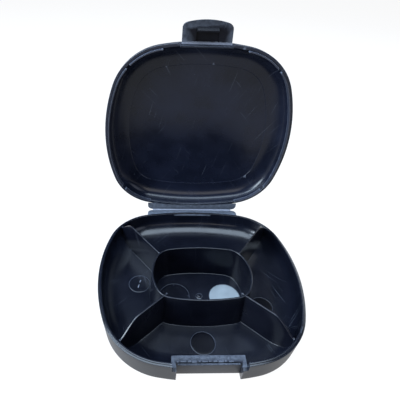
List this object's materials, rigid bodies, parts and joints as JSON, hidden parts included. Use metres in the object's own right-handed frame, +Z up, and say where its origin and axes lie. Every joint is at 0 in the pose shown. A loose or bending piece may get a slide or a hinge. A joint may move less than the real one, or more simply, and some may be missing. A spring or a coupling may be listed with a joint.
{
  "type": "compartment box",
  "caption": "Rounded-square moulded clamshell box standing open, with a divided tray, a central cup, a living-hinge lid and a folding front latch flap.",
  "frame": {"origin": "middle of the tray outline, on its flat underside", "axes": "+Z up out of the tray, +Y from the latch side to the lid hinge, +X to the right; the lid stands open, just short of upright"},
  "size_m": [0.15, 0.1592, 0.1767],
  "materials": {
    "shell_plastic": "satin black polypropylene",
    "hinge_plastic": "thin flexed polypropylene, a little glossier"
  },
  "bodies": {
    "base": {"base_tray": "shell_plastic", "centre_cup": "shell_plastic", "divider_rear_left": "shell_plastic", "divider_rear_right": "shell_plastic", "divider_front_left": "shell_plastic", "divider_front_right": "shell_plastic", "latch_catch": "shell_plastic", "base_hinge_leaf": "shell_plastic", "lid_hinge_web": "hinge_plastic"},
    "lid": {"lid_shell": "shell_plastic", "lid_seal_lip": "shell_plastic", "lid_hinge_leaf": "shell_plastic", "lid_latch_apron": "shell_plastic", "latch_hinge_web": "hinge_plastic"},
    "latch": {"latch_flap": "shell_plastic", "latch_hook": "shell_plastic"}
  },
  "joints": [
    {"name": "lid_hinge", "type": "hinge", "parent": "base", "child": "lid", "pos_m": [0, 0.0756, 0.0173], "axis": [1, 0, 0], "range_deg": [-88, 88.7], "deforming": ["lid_hinge_web"]},
    {"name": "latch_hinge", "type": "hinge", "parent": "lid", "child": "latch", "pos_m": [0, 0.07336, 0.16219], "axis": [1, 0, 0], "range_deg": [0, 90], "deforming": ["latch_hinge_web"]}
  ]
}
